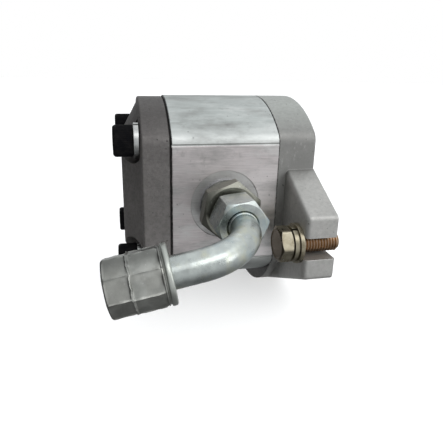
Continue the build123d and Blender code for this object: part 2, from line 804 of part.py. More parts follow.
with BuildPart() as mounting_bolts:
    with BuildSketch(cross_plane(head_seat)):
        with stud_places():
            RegularPolygon(hex_head_flats / 2, 6, major_radius=False, rotation=90)
    extrude(amount=-hex_head_height)
    with BuildSketch(cross_plane(head_seat)):
        with stud_places():
            Circle(mount_shank_radius)
    extrude(amount=mount_thread_start - head_seat)
    with BuildSketch(cross_plane(mount_thread_start)):
        with stud_places():
            Circle(mount_thread_radius)
    extrude(amount=head_seat + mount_bolt_length - mount_thread_start)
    chamfer(mounting_bolts.faces().sort_by(Axis.X)[-2:].edges(), bolt_end_chamfer)
save(mounting_bolts, "mounting_bolts")
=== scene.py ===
"""Looks of the hydraulic gear pump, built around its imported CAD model.

Lengths are written in millimetres and turned into metres by MM, except the places of the camera,
the lamps and the floor, which are in metres. The frame is the CAD's own: +X out of the mounting
face along the drive shaft, +Z up, and the pressure port looks along -Y.
"""
import json
import math

import bmesh
import bpy
from mathutils import Matrix, Vector


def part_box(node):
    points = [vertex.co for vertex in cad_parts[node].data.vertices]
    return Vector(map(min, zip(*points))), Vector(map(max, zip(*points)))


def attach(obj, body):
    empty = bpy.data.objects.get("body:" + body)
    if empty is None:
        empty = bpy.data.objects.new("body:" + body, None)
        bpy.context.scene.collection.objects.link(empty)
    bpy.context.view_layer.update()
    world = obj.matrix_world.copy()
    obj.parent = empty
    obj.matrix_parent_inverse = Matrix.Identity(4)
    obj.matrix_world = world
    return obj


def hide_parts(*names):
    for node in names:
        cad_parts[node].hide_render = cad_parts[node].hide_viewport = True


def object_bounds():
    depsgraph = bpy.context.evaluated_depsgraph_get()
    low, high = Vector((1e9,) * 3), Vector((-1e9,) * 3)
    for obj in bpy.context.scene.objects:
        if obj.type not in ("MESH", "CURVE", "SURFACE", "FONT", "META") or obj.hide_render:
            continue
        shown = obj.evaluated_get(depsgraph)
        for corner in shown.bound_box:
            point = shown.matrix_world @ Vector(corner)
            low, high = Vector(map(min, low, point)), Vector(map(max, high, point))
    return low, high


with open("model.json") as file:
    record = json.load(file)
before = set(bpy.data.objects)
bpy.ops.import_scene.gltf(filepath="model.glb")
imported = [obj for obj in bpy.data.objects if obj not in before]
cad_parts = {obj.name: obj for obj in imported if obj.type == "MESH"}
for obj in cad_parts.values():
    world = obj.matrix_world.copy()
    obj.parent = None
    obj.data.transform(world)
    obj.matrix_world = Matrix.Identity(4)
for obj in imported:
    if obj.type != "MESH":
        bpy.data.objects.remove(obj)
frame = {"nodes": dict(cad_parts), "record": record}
cad_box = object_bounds()

MM = 0.001
TURN = 2 * math.pi
WELD = 1e-7           # metres between points that count as one
THREAD_DEPTH = 0.61   # depth of an outside thread, in pitches
HEXAGON_CHAMFER = math.radians(30)
HEXAGON_SEGMENTS = 144
TUBE_SEGMENTS = 96

mounts = {mount["name"]: mount for mount in frame["record"]["mounts"]}
hose_place = Vector(mounts["hose_end"]["pos_m"]) / MM
hose_axis = Vector(mounts["hose_end"]["axis"])
port_x, _, port_z = (value / MM for value in mounts["suction_port"]["pos_m"])
body_ends = [corner.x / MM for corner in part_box("pump_body")]   # its rear and its front face
ferrule_length, rim_width = 24.0, 2.7


# ==== camera ================================================================================
def add_camera():
    """Camera at the height and angle of somebody leaning over the pump."""
    eye = (-0.09715, -0.23455, 0.07699)
    yaw, pitch, roll = 0.1976, 0.2907, 0.0146
    ahead = Vector((math.sin(yaw) * math.cos(pitch), math.cos(yaw) * math.cos(pitch),
                    -math.sin(pitch)))
    level_right = Vector((math.cos(yaw), -math.sin(yaw), 0))
    level_up = level_right.cross(ahead)
    right = level_right * math.cos(roll) + level_up * math.sin(roll)
    up = level_up * math.cos(roll) - level_right * math.sin(roll)
    data = bpy.data.cameras.new("camera")
    data.sensor_width = 36
    data.lens = 32.17
    data.shift_x = 0.0385
    data.shift_y = -0.0285
    data.clip_start = 0.01
    camera = bpy.data.objects.new("camera", data)
    camera.matrix_world = Matrix((
        (right.x, up.x, -ahead.x, eye[0]),
        (right.y, up.y, -ahead.y, eye[1]),
        (right.z, up.z, -ahead.z, eye[2]),
        (0, 0, 0, 1)))
    bpy.context.collection.objects.link(camera)
    bpy.context.scene.camera = camera


add_camera()


# ==== materials =============================================================================
SEAM_BLACK = (0.05, 0.048, 0.048)
BEVEL_SAMPLES = 6


def shade(colour, factor):
    """The same colour, this many times as bright."""
    return tuple(part * factor for part in colour)


class Finish:
    """A Principled material being built; lengths in its textures are millimetres."""

    def __init__(self, name, colour, metallic, roughness):
        self.material = bpy.data.materials.new(name)
        self.material.use_nodes = True
        self.tree = self.material.node_tree
        self.shader = self.tree.nodes["Principled BSDF"]
        self.shader.inputs["Base Color"].default_value = (*colour, 1)
        self.shader.inputs["Metallic"].default_value = metallic
        self.shader.inputs["Roughness"].default_value = roughness
        self.place = self.add("ShaderNodeTexCoord").outputs["Object"]
        self.heights = []

    def add(self, kind, inputs=(), **settings):
        """A new node; inputs that are sockets are linked and the others are set."""
        node = self.tree.nodes.new(kind)
        for key, value in settings.items():
            setattr(node, key, value)
        for key, value in dict(inputs).items():
            if isinstance(value, bpy.types.NodeSocket):
                self.tree.links.new(value, node.inputs[key])
            else:
                node.inputs[key].default_value = value
        return node

    def spread(self, along=(1, 1, 1), turn=(0, 0, 0)):
        """Millimetre coordinates, squeezed along each axis by these factors."""
        scale = tuple(factor / MM for factor in along)
        node = self.add("ShaderNodeMapping",
                        {"Vector": self.place, "Scale": scale, "Rotation": turn})
        return node.outputs["Vector"]

    def noise(self, scale, along=(1, 1, 1), turn=(0, 0, 0), detail=4, roughness=0.55):
        """Noise from 0 to 1 with this many features per millimetre."""
        node = self.add("ShaderNodeTexNoise", {"Vector": self.spread(along, turn), "Scale": scale,
                                               "Detail": detail, "Roughness": roughness})
        return node.outputs["Fac"]

    def cells(self, scale):
        """Distance to the nearest of scattered points."""
        node = self.add("ShaderNodeTexVoronoi", {"Vector": self.spread(), "Scale": scale})
        return node.outputs["Distance"]

    def axis(self, letter):
        """The X, Y or Z coordinate in millimetres."""
        return self.add("ShaderNodeSeparateXYZ", {"Vector": self.spread()}).outputs[letter]

    def along(self, direction):
        """Millimetres along a direction from the frame's origin."""
        node = self.add("ShaderNodeVectorMath", {0: self.spread(), 1: direction},
                        operation="DOT_PRODUCT")
        return node.outputs["Value"]

    def seam(self, places, width):
        """1 in a ragged line along each joint, given by its X place."""
        ragged = self.fade(self.noise(0.5, (0, 1, 1), detail=5), 0.35, 0.65, 0.3, 1.0)
        half_width = self.math("MULTIPLY", ragged, width)
        total = None
        for place in places:
            away = self.math("ABSOLUTE", self.math("SUBTRACT", self.axis("X"), place))
            share = self.math("LESS_THAN", away, half_width)
            total = share if total is None else self.math("MAXIMUM", total, share)
        return total

    def rings(self, scale):
        """Noise that changes only with the distance from the drive shaft's axis."""
        flat = self.add("ShaderNodeVectorMath", {0: self.spread(), 1: (0, 1, 1)},
                        operation="MULTIPLY")
        away = self.add("ShaderNodeVectorMath", {0: flat.outputs[0]}, operation="LENGTH")
        node = self.add("ShaderNodeTexNoise",
                        {"W": away.outputs["Value"], "Scale": scale, "Detail": 3},
                        noise_dimensions="1D")
        return node.outputs["Fac"]

    def math(self, operation, first, second=0.0):
        return self.add("ShaderNodeMath", {0: first, 1: second}, operation=operation).outputs[0]

    def fade(self, value, start, end, low=0.0, high=1.0):
        """Value carried from start..end to low..high, and held beyond them."""
        node = self.add("ShaderNodeMapRange", {"Value": value, "From Min": start, "From Max": end,
                                               "To Min": low, "To Max": high})
        return node.outputs["Result"]

    def blend(self, factor, first, second):
        """Colour from first to second as the factor rises."""
        node = self.add("ShaderNodeMix", data_type="RGBA")
        inputs = node.inputs
        for socket, value in ((inputs["Factor"], factor), (inputs[6], first), (inputs[7], second)):
            if isinstance(value, bpy.types.NodeSocket):
                self.tree.links.new(value, socket)
            else:
                socket.default_value = (*value, 1)
        return node.outputs[2]

    def stain(self, colour, mask, share, tone):
        """Colour carried this share of the way to the tone where the mask is 1."""
        return self.blend(self.math("MULTIPLY", mask, share), colour, tone)

    def edges(self, radius):
        """1 along sharp edges, 0 on open surface."""
        rounded = self.rounded_normal(radius)
        flat = self.add("ShaderNodeNewGeometry").outputs["Normal"]
        agree = self.add("ShaderNodeVectorMath", {0: rounded, 1: flat}, operation="DOT_PRODUCT")
        return self.fade(agree.outputs["Value"], 0.995, 0.90)

    def rounded_normal(self, radius):
        """The surface's normal, as if its edges were rounded by this radius."""
        node = self.add("ShaderNodeBevel", {"Radius": radius * MM}, samples=BEVEL_SAMPLES)
        return node.outputs["Normal"]

    def raise_by(self, height, millimetres):
        """Add relief: height from 0 to 1 stands this far out of the surface."""
        self.heights.append((height, millimetres))

    def wire(self, name, value):
        self.tree.links.new(value, self.shader.inputs[name])

    def finish(self, edge_radius=0.0):
        """Chain the reliefs into the normal and hand the material over."""
        normal = self.rounded_normal(edge_radius) if edge_radius else None
        for height, millimetres in self.heights:
            inputs = {"Height": height, "Strength": 1.0, "Distance": millimetres * MM}
            if normal is not None:
                inputs["Normal"] = normal
            normal = self.add("ShaderNodeBump", inputs).outputs["Normal"]
        if normal is not None:
            self.wire("Normal", normal)
        return self.material


def extruded_aluminium():
    """Drawn crown streaked along the shaft, painted highlight on its sides, milled port pads."""
    f = Finish("extruded_aluminium", (0.5, 0.5, 0.5), 1.0, 0.4)
    smudge = f.noise(0.05, (0.45, 1, 1), detail=7, roughness=0.68)
    patch = f.noise(0.14, (0.3, 1, 1), detail=6, roughness=0.62)
    streak = f.noise(0.35, (0.035, 1, 1), detail=6, roughness=0.55)
    hair = f.noise(3.2, (0.018, 1, 1), detail=5, roughness=0.6)
    speck = f.fade(f.cells(0.22), 0.10, 0.02)
    dirt = f.fade(f.noise(0.16, detail=6, roughness=0.7), 0.58, 0.70)
    rub = f.fade(f.noise(0.22, (0.25, 1, 1), detail=5, roughness=0.7), 0.58, 0.70)

    pad_plane, pad_half, front = 45.0, 31.0, body_ends[1]
    side = f.math("ABSOLUTE", f.axis("Y"))
    height = f.math("ABSOLUTE", f.math("SUBTRACT", f.axis("Z"), port_z))
    pad = f.math("MULTIPLY", f.fade(side, pad_plane - 0.7, pad_plane - 0.3),
                 f.fade(height, pad_half + 0.2, pad_half - 0.4))
    # painted highlight: the crown's flat sides above and below the pads are made paler
    flank_highlight = f.math("MULTIPLY", f.fade(side, pad_plane - 8, pad_plane - 1),
                   f.fade(height, pad_half - 0.1, pad_half + 0.3))
    crown = f.blend(f.fade(streak, 0.3, 0.7), (0.49, 0.52, 0.508), (0.58, 0.61, 0.595))
    crown = f.stain(crown, flank_highlight, 0.55, (0.72, 0.735, 0.72))
    milled = f.blend(f.fade(hair, 0.28, 0.72), (0.53, 0.492, 0.490), (0.79, 0.738, 0.736))
    # partly scrubbed metal, partly painted light: the pad is paler towards the front and its foot,
    # lifting the shade near the fitting
    scrubbed_and_lit = f.math("MULTIPLY", f.fade(f.axis("X"), front - 26, front - 13, 0, 0.95),
                      f.fade(f.axis("Z"), 38, 14))
    milled = f.blend(scrubbed_and_lit, milled, (1.0, 0.96, 0.955))

    colour = f.blend(pad, crown, milled)
    colour = f.blend(f.fade(smudge, 0.50, 0.66, 0, 0.55), colour, (0.33, 0.335, 0.325))
    colour = f.blend(f.fade(smudge, 0.46, 0.34, 0, 0.6), colour, (0.70, 0.715, 0.70))
    colour = f.blend(f.fade(patch, 0.54, 0.66, 0, 0.40), colour, (0.38, 0.375, 0.365))
    colour = f.blend(f.fade(patch, 0.44, 0.34, 0, 0.30), colour, (0.70, 0.72, 0.70))
    colour = f.stain(colour, rub, 0.30, (0.27, 0.27, 0.265))
    colour = f.stain(colour, dirt, 0.25, (0.22, 0.21, 0.205))
    colour = f.stain(colour, speck, 0.65, (0.12, 0.115, 0.115))
    colour = f.stain(colour, f.seam(body_ends, 0.5), 0.8, SEAM_BLACK)
    f.wire("Base Color", colour)
    dullness = f.math("ADD", smudge, f.math("MULTIPLY", patch, 0.5))
    roughness = f.fade(dullness, 0.55, 0.95, 0.44, 0.66)
    f.wire("Roughness", f.math("SUBTRACT", roughness, f.math("MULTIPLY", pad, 0.06)))

    f.raise_by(f.math("MULTIPLY", hair, pad), 0.03)
    f.raise_by(f.math("MULTIPLY", f.math("SUBTRACT", 1.0, pad), hair), 0.008)
    f.raise_by(streak, 0.02)
    f.raise_by(patch, 0.04)
    f.raise_by(f.math("MULTIPLY", speck, -1.0), 0.08)
    return f.finish(0.25)


def cast_aluminium(name, dark, light, pit_depth, rough, coarse=1.0, machined_from=None,
                   lit_ears=0.0):
    """Cast skin with grain, pits and scuffs, as coarse as asked.

    It is turned bright beyond the X place machined_from. The last argument is how much paler
    painted light makes the flange's ears;
    the flange also gets painted shade on its middle and painted sky light on its top. Without it
    the casting is the cover, made paler towards its foot by a painted reflection and darker along
    its top by painted shade.
    """
    f = Finish(name, light, 0.8, 0.55)
    cloud = f.noise(0.06, detail=6, roughness=0.62)
    mottle = f.noise(0.6, detail=6, roughness=0.6)
    grain = f.noise(2.4, detail=4, roughness=0.65)
    scuff = f.fade(f.noise(0.28, (1, 1, 0.5), (0.5, 0, 0), detail=6, roughness=0.7), 0.60, 0.68)
    pit = f.fade(f.cells(0.33), 0.15, 0.05)
    pit = f.math("MULTIPLY", pit, f.fade(f.noise(0.11), 0.50, 0.6))

    colour = f.blend(f.fade(cloud, 0.30, 0.70), dark, light)
    if lit_ears:
        ear_from, slot_from, slot_half = 45.0, 56.0, 5.7
        side = f.math("ABSOLUTE", f.axis("Y"))
        # painted shade: the flange's middle, between the ears, made darker
        colour = f.blend(f.fade(side, ear_from + 1, ear_from, 0, 0.55), colour, shade(dark, 0.7))
        # painted light: the flange's top paler and greener, as lit from the sky
        colour = f.blend(f.fade(f.axis("Z"), 50, 64, 0, 0.9), colour, (0.49, 0.51, 0.485))
        # painted light: the ears paler outwards, as if nearer the lamps
        colour = f.blend(f.fade(side, ear_from + 0.5, ear_from + 9, 0, lit_ears), colour,
                         shade(light, 1.5))
        slot = f.math("MULTIPLY", f.fade(side, slot_from, slot_from + 1),
                      f.fade(f.math("ABSOLUTE", f.axis("Z")), slot_half + 0.2, slot_half))
        colour = f.blend(slot, colour, (0.66, 0.66, 0.64))
    else:
        # painted reflection: the cover made paler towards its foot
        colour = f.blend(f.fade(f.axis("Z"), 48, -25, 0, 0.55), colour, shade(light, 1.7))
        # painted shade: the cover made darker along its top
        colour = f.blend(f.fade(f.axis("Z"), 46, 60, 0, 0.6), colour, shade(dark, 0.55))
    colour = f.blend(f.fade(mottle, 0.42, 0.75, 0, 0.40 * coarse), colour, shade(dark, 0.7))
    colour = f.blend(f.fade(grain, 0.55, 0.75, 0, 0.35 * coarse), colour, shade(dark, 0.6))
    glint = f.fade(f.cells(0.7), 0.16, 0.06)
    colour = f.stain(colour, glint, 0.22 * coarse, shade(light, 1.9))
    colour = f.stain(colour, scuff, 0.25, shade(light, 1.6))
    colour = f.stain(colour, pit, 0.75, (0.04, 0.036, 0.036))
    colour = f.stain(colour, f.seam(body_ends, 0.5), 0.8, SEAM_BLACK)
    # worn edges with a painted highlight: every sharp edge made paler
    colour = f.stain(colour, f.edges(0.5), 0.35, shade(light, 1.5))

    skin_share = 1.0
    roughness = f.fade(mottle, 0.3, 0.7, rough - 0.05, rough + 0.07)
    if machined_from is not None:
        skin_share = f.fade(f.axis("X"), machined_from, machined_from + 0.1, 1, 0)
        ring = f.rings(2.6)
        turned = f.blend(f.fade(ring, 0.3, 0.7), (0.46, 0.46, 0.455), (0.66, 0.66, 0.655))
        colour = f.blend(skin_share, turned, colour)
        roughness = f.math("SUBTRACT", roughness, f.fade(skin_share, 0, 1, 0.14, 0))
        f.raise_by(f.math("MULTIPLY", ring, f.math("SUBTRACT", 1.0, skin_share)), 0.02)
    f.wire("Base Color", colour)
    f.wire("Roughness", roughness)
    for relief, millimetres in ((f.noise(0.2, detail=3), 0.16), (mottle, 0.10), (grain, 0.06)):
        f.raise_by(f.math("MULTIPLY", relief, skin_share), millimetres * coarse)
    f.raise_by(f.math("MULTIPLY", f.math("MULTIPLY", pit, skin_share), -1.0), pit_depth)
    return f.finish(0.4)


def zinc_plate(name, dark, light, patch, rough, blotch=0.25, tints=(), dents=0.0, fields=()):
    """Passivated zinc: mottled satin colour, stains, scratches and worn edges with a painted
    highlight.

    Each field is a direction, the places where it starts and is full, its share and its colour.
    """
    f = Finish(name, light, 1.0, rough)
    mottle = f.noise(blotch, detail=5, roughness=0.6)
    fine = f.noise(2.2, detail=4)
    blemish = f.fade(f.noise(0.12, detail=6, roughness=0.65), 0.55, 0.72)
    nick = f.fade(f.noise(1.1, (1, 1, 0.3), (0.4, 0.8, 0.3), detail=2), 0.70, 0.76)

    colour = f.blend(f.fade(mottle, 0.30, 0.70), dark, light)
    for number, tint in enumerate(tints):
        cloud = f.fade(f.noise(0.09 + 0.05 * number, detail=3), 0.50, 0.68, 0, 0.7)
        colour = f.blend(cloud, colour, tint)
    colour = f.stain(colour, blemish, 0.5, patch)
    colour = f.blend(f.fade(fine, 0.55, 0.8, 0, 0.2), colour, dark)
    for direction, start, full, share, tone in fields:
        colour = f.blend(f.fade(f.along(direction), start, full, 0, share), colour, tone)
    colour = f.stain(colour, nick, 0.5, (0.80, 0.81, 0.80))
    # worn edges with a painted highlight: every sharp edge made paler
    colour = f.stain(colour, f.edges(0.16), 0.45, (0.78, 0.78, 0.76))
    f.wire("Base Color", colour)
    dullness = f.math("ADD", mottle, f.math("MULTIPLY", fine, 0.4))
    f.wire("Roughness", f.fade(dullness, 0.45, 0.95, rough - 0.07, rough + 0.12))

    f.raise_by(mottle, 0.015)
    f.raise_by(fine, 0.008)
    if dents:
        f.raise_by(f.noise(0.45, detail=4, roughness=0.6), dents)
    f.raise_by(f.math("MULTIPLY", nick, -1.0), 0.02)
    return f.finish()


def turned_steel(name, colour, rough, line_axis="X"):
    """Ground or turned steel with rings square to its axis."""
    f = Finish(name, colour, 1.0, rough)
    rings = {"X": (1, 0.04, 0.04), "Y": (0.04, 1, 0.04)}[line_axis]
    ring = f.noise(4.0, rings, detail=3)
    cloud = f.noise(0.2, detail=5)
    f.wire("Base Color", f.blend(f.fade(cloud, 0.4, 0.7), colour, shade(colour, 0.7)))
    f.wire("Roughness", f.fade(ring, 0.3, 0.7, rough - 0.06, rough + 0.1))
    f.raise_by(ring, 0.01)
    return f.finish(0.15)


def black_oxide():
    """Oiled black steel, greyer where it has been handled."""
    f = Finish("black_oxide", (0.008, 0.008, 0.009), 0.2, 0.5)
    f.shader.inputs["Specular IOR Level"].default_value = 0.03
    rub = f.noise(0.35, detail=6)
    colour = f.blend(f.fade(rub, 0.45, 0.75), (0.005, 0.005, 0.006), (0.013, 0.012, 0.012))
    # worn edges with a painted highlight: the edges made greyer
    colour = f.stain(colour, f.edges(0.3), 0.2, (0.08, 0.076, 0.07))
    f.wire("Base Color", colour)
    f.wire("Roughness", f.fade(rub, 0.3, 0.7, 0.42, 0.6))
    f.raise_by(f.noise(2.5, detail=3), 0.02)
    return f.finish(0.15)


def rubber(name, colour):
    """Dull moulded rubber or plastic with a faint bloom."""
    f = Finish(name, colour, 0.0, 0.55)
    bloom = f.noise(0.5, detail=5)
    bloomed = tuple(part * 1.8 + 0.01 for part in colour)
    f.wire("Base Color", f.blend(f.fade(bloom, 0.4, 0.8), colour, bloomed))
    f.wire("Roughness", f.fade(bloom, 0.3, 0.7, 0.45, 0.65))
    f.raise_by(f.noise(4.0, detail=2), 0.01)
    return f.finish()


def dull_zinc():
    """Zinc of the ferrule: painted shade along its top, brighter on the rim at its mouth."""
    up = Vector((0, 1, 0)).cross(hose_axis)
    up *= math.copysign(1, up.z)
    level = up.dot(hose_place)
    rim_from = ferrule_length - rim_width - hose_axis.dot(hose_place)
    # painted shade: the ferrule's top made darker
    top = (up, level + 7.6, level + 10.4, 0.80, (0.18, 0.185, 0.175))
    rim = (-hose_axis, rim_from, rim_from + 0.2, 0.62, (0.63, 0.665, 0.62))
    return zinc_plate("dull_zinc", (0.36, 0.36, 0.335), (0.52, 0.525, 0.49),
                      (0.24, 0.235, 0.215), 0.35, 0.13,
                      ((0.60, 0.61, 0.58), (0.34, 0.35, 0.325)), dents=0.06, fields=(top, rim))


def yellow_zinc():
    """Zinc of the mounting screws: browner on the threads, painted shade on the top of the heads.
    """
    ear_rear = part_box("mounting_flat_washers")[1].x / MM
    head_end = -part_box("mounting_bolts")[0].x / MM
    threads = ((1, 0, 0), ear_rear + 0.7, ear_rear + 1.2, 0.8, (0.43, 0.27, 0.155))
    # painted shade: the end faces of the heads made darker
    heads = ((-1, 0, 0), head_end - 0.8, head_end - 0.3, 0.6, (0.15, 0.11, 0.08))
    return zinc_plate("yellow_zinc", (0.265, 0.232, 0.162), (0.47, 0.432, 0.33),
                      (0.17, 0.125, 0.07), 0.30, fields=(threads, heads))


finishes = {
    "extruded_body": extruded_aluminium(),
    "cast_cover": cast_aluminium("cast_cover", (0.156, 0.147, 0.143), (0.232, 0.220, 0.213),
                                 0.25, 0.56),
    "cast_flange": cast_aluminium("cast_flange", (0.31, 0.308, 0.296), (0.42, 0.415, 0.40),
                                  0.06, 0.46, coarse=0.6, machined_from=-0.15, lit_ears=0.50),
    "ground_steel": turned_steel("ground_steel", (0.60, 0.60, 0.62), 0.22),
    "bright_steel": turned_steel("bright_steel", (0.58, 0.58, 0.60), 0.3, "Y"),
    "bearing_alloy": turned_steel("bearing_alloy", (0.70, 0.69, 0.66), 0.35),
    "bush_bronze": zinc_plate("bush_bronze", (0.46, 0.33, 0.19), (0.66, 0.50, 0.32),
                              (0.30, 0.20, 0.12), 0.42),
    "seal_rubber": rubber("seal_rubber", (0.022, 0.022, 0.024)),
    "backup_plastic": rubber("backup_plastic", (0.72, 0.70, 0.64)),
    "spring_steel": zinc_plate("spring_steel", (0.46, 0.47, 0.46), (0.66, 0.67, 0.66),
                               (0.30, 0.29, 0.27), 0.30),
    "black_oxide": black_oxide(),
    "olive_zinc": zinc_plate("olive_zinc", (0.215, 0.215, 0.182), (0.335, 0.335, 0.29),
                             (0.13, 0.12, 0.10), 0.33),
    "bright_zinc": zinc_plate("bright_zinc", (0.44, 0.475, 0.465), (0.58, 0.62, 0.60),
                              (0.33, 0.35, 0.34), 0.30, 0.2,
                              ((0.38, 0.49, 0.53), (0.62, 0.63, 0.50), (0.66, 0.71, 0.68)),
                              dents=0.06),
    "dull_zinc": dull_zinc(),
    "yellow_zinc": yellow_zinc(),
}
for row in frame["record"]["subparts"]:
    node = frame["nodes"][row["node"]]
    node.data.materials.clear()
    node.data.materials.append(finishes[row["material_slot"]])


# ==== mesh tools ============================================================================
class Spindle:
    """Places points around an axis by radius, angle and distance along it."""

    def __init__(self, origin, axis, side):
        self.origin = Vector(origin)
        self.axis = Vector(axis).normalized()
        self.side = Vector(side).normalized()
        self.third = self.axis.cross(self.side)

    def at(self, radius, angle, along):
        across = self.side * math.cos(angle) + self.third * math.sin(angle)
        return (self.origin + self.axis * along + across * radius) * MM


def skin(bm, rings, joined=False):
    """Quads between rings of the same number of points; joined closes the last to the first."""
    rows = [[bm.verts.new(point) for point in ring] for ring in rings]
    pairs = list(zip(rows, rows[1:])) + ([(rows[-1], rows[0])] if joined else [])
    for first, second in pairs:
        count = len(first)
        for i in range(count):
            j = (i + 1) % count
            bm.faces.new((first[i], first[j], second[j], second[i]))
    return rows


def capped_skin(bm, rings):
    """Quads between the rings, and a face over each end."""
    rows = skin(bm, rings)
    bm.faces.new(rows[0])
    bm.faces.new(rows[-1])


def weld(bm):
    """Join points that meet, and drop edges and faces of no size."""
    bmesh.ops.remove_doubles(bm, verts=bm.verts, dist=WELD)
    bmesh.ops.dissolve_degenerate(bm, edges=bm.edges, dist=WELD)


def soften(bm, width, limit=28):
    """Round every edge sharper than the limit, in degrees."""
    weld(bm)
    bmesh.ops.recalc_face_normals(bm, faces=bm.faces)
    sharp = [edge for edge in bm.edges
             if len(edge.link_faces) == 2 and edge.calc_face_angle() > math.radians(limit)]
    if sharp:
        bmesh.ops.bevel(bm, geom=sharp, offset=width * MM, offset_type="OFFSET", segments=2,
                        profile=0.5, affect="EDGES", clamp_overlap=True)


def merge(bm, other):
    """Move another bmesh's geometry into this one."""
    part = bpy.data.meshes.new("part")
    other.to_mesh(part)
    other.free()
    bm.from_mesh(part)
    bpy.data.meshes.remove(part)


def make_piece(name, bm, slot, node=None, body="housing", smooth=35):
    """Turn a finished bmesh into an object that rides on a body and may replace a CAD node."""
    weld(bm)
    bmesh.ops.recalc_face_normals(bm, faces=bm.faces)
    for face in bm.faces:
        face.smooth = True
    for edge in bm.edges:
        if len(edge.link_faces) == 2:
            edge.smooth = edge.calc_face_angle() < math.radians(smooth)
    mesh = bpy.data.meshes.new(name)
    bm.to_mesh(mesh)
    bm.free()
    mesh.materials.append(finishes[slot])
    piece = bpy.data.objects.new(name, mesh)
    bpy.context.collection.objects.link(piece)
    weigh = piece.modifiers.new("weigh", "WEIGHTED_NORMAL")
    weigh.keep_sharp = True
    evaluated = piece.evaluated_get(bpy.context.evaluated_depsgraph_get())
    shaded = bpy.data.meshes.new_from_object(evaluated)
    piece.modifiers.clear()
    piece.data = shaded
    bpy.data.meshes.remove(mesh)
    shaded.name = name
    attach(piece, body)
    if node:
        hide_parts(node)


def reach(node, letter):
    """Least and greatest distance of a node's box from the frame's origin along one axis."""
    index = "XYZ".index(letter)
    low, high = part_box(node)
    return sorted(abs(corner[index]) / MM for corner in (low, high))


def lathe_rings(spindle, profile, segments, turn=0.0):
    """Rings of a turned shape; its profile gives places along the axis and their radii."""
    angles = [turn + TURN * i / segments for i in range(segments)]
    return [[spindle.at(radius, angle, along) for angle in angles] for along, radius in profile]


def hexagon_radius(flats, angle, corner_round=0.15):
    """Distance from the middle to a hexagon's side, its corners slightly rounded."""
    turn = (angle + TURN / 12) % (TURN / 6) - TURN / 12
    corner = flats / math.sqrt(3) - corner_round
    return min(flats / 2 / math.cos(TURN / 12 - abs(turn)), corner)


def hexagon_rings(spindle, flats, near, far, near_face, far_face, turn=0.0):
    """Rings of a hexagon bar whose ends are turned to cones down to the face radii."""
    slope = math.tan(HEXAGON_CHAMFER)
    angles = [TURN * i / HEXAGON_SEGMENTS for i in range(HEXAGON_SEGMENTS)]
    side = [hexagon_radius(flats, angle) for angle in angles]

    def ring(radii, places):
        return [spindle.at(radius, angle + turn, place)
                for radius, angle, place in zip(radii, angles, places)]

    near_edge = [near + max(radius - near_face, 0) * slope for radius in side]
    far_edge = [far - max(radius - far_face, 0) * slope for radius in side]
    near_end, far_end = ([value] * HEXAGON_SEGMENTS for value in (near, far))
    return [ring([near_face] * HEXAGON_SEGMENTS, near_end), ring(side, near_edge),
            ring(side, far_edge), ring([far_face] * HEXAGON_SEGMENTS, far_end)]


def thread(bm, spindle, start, end, major, depth, pitch, segments=48, inward=False):
    """Screw thread between two places; depth is how far the root lies from the crest."""
    form = ((0.0, 1.0), (0.125, 1.0), (0.44, 0.0), (0.56, 0.0), (0.875, 1.0))
    run_out_length = 0.7 * pitch
    steps = len(form) - 1
    turns = int((end - start) / pitch) + 2
    sign = -1 if inward else 1
    rows = []
    for row in range(turns * steps + 1):
        lap, stage = divmod(row, steps)
        part, height = form[stage]
        ring = []
        for i in range(segments + 1):
            place = start + pitch * (lap - 1 + part + i / segments)
            inside = min(max(place, start), end)
            run_out = min(abs(end - inside), abs(inside - start)) / run_out_length
            full = major - sign * depth * (1 - height * min(run_out, 1))
            ring.append(bm.verts.new(spindle.at(full, TURN * i / segments, inside)))
        rows.append(ring)
    for lower, upper in zip(rows, rows[1:]):
        for i in range(segments):
            bm.faces.new((lower[i], lower[i + 1], upper[i + 1], upper[i]))


def add_screw_thread(bm, spindle, start, end, radius, pitch):
    """Closed threaded rod between two places."""
    rod = bmesh.new()
    thread(rod, spindle, start, end, radius, THREAD_DEPTH * pitch, pitch)
    weld(rod)
    bmesh.ops.holes_fill(rod, edges=[edge for edge in rod.edges if edge.is_boundary])
    merge(bm, rod)


def knurled_rings(spindle, depth, ridges, profile, segments):
    """Rings with straight ridges; the profile gives place, radius and share of the depth."""
    rings = []
    for place, radius, share in profile:
        ring = []
        for i in range(segments):
            angle = TURN * i / segments
            wave = abs((angle / TURN * ridges) % 1 - 0.5) * 2
            ring.append(spindle.at(radius - depth * share * wave, angle, place))
        rings.append(ring)
    return rings


def turned_ring(bm, spindle, front, rear, inner, outer):
    """Flat washer."""
    profile = [(front, inner), (front, outer), (rear, outer), (rear, inner)]
    skin(bm, lathe_rings(spindle, profile, TUBE_SEGMENTS), joined=True)


def split_ring(bm, spindle, front, rear, inner, outer, gap):
    """Spring washer: one turn of square wire whose two ends stand a little apart."""
    rise, gap_at, steps = 0.12, math.radians(70), 80
    half_gap = gap / (inner + outer)
    rings = []
    for step in range(steps + 1):
        angle = gap_at + half_gap + (TURN - 2 * half_gap) * step / steps
        lift = rise * (step / steps - 0.5)
        rings.append([spindle.at(radius, angle, along + lift)
                      for along, radius in ((front + rise, inner), (front + rise, outer),
                                            (rear - rise, outer), (rear - rise, inner))])
    capped_skin(bm, rings)


# ==== fittings ==============================================================================
port = Spindle((port_x, 0, port_z), (0, -1, 0), (1, 0, 0))
leg_reach = -hose_place.y
leg = Spindle((port_x, -leg_reach, port_z), hose_axis, (0, -1, 0))
leg_end = (hose_place - leg.origin).dot(leg.axis)
tail_from = 42.0    # where the elbow's tube is turned down to its tail, along the leg
bend = 24.0         # radius of the elbow's middle line


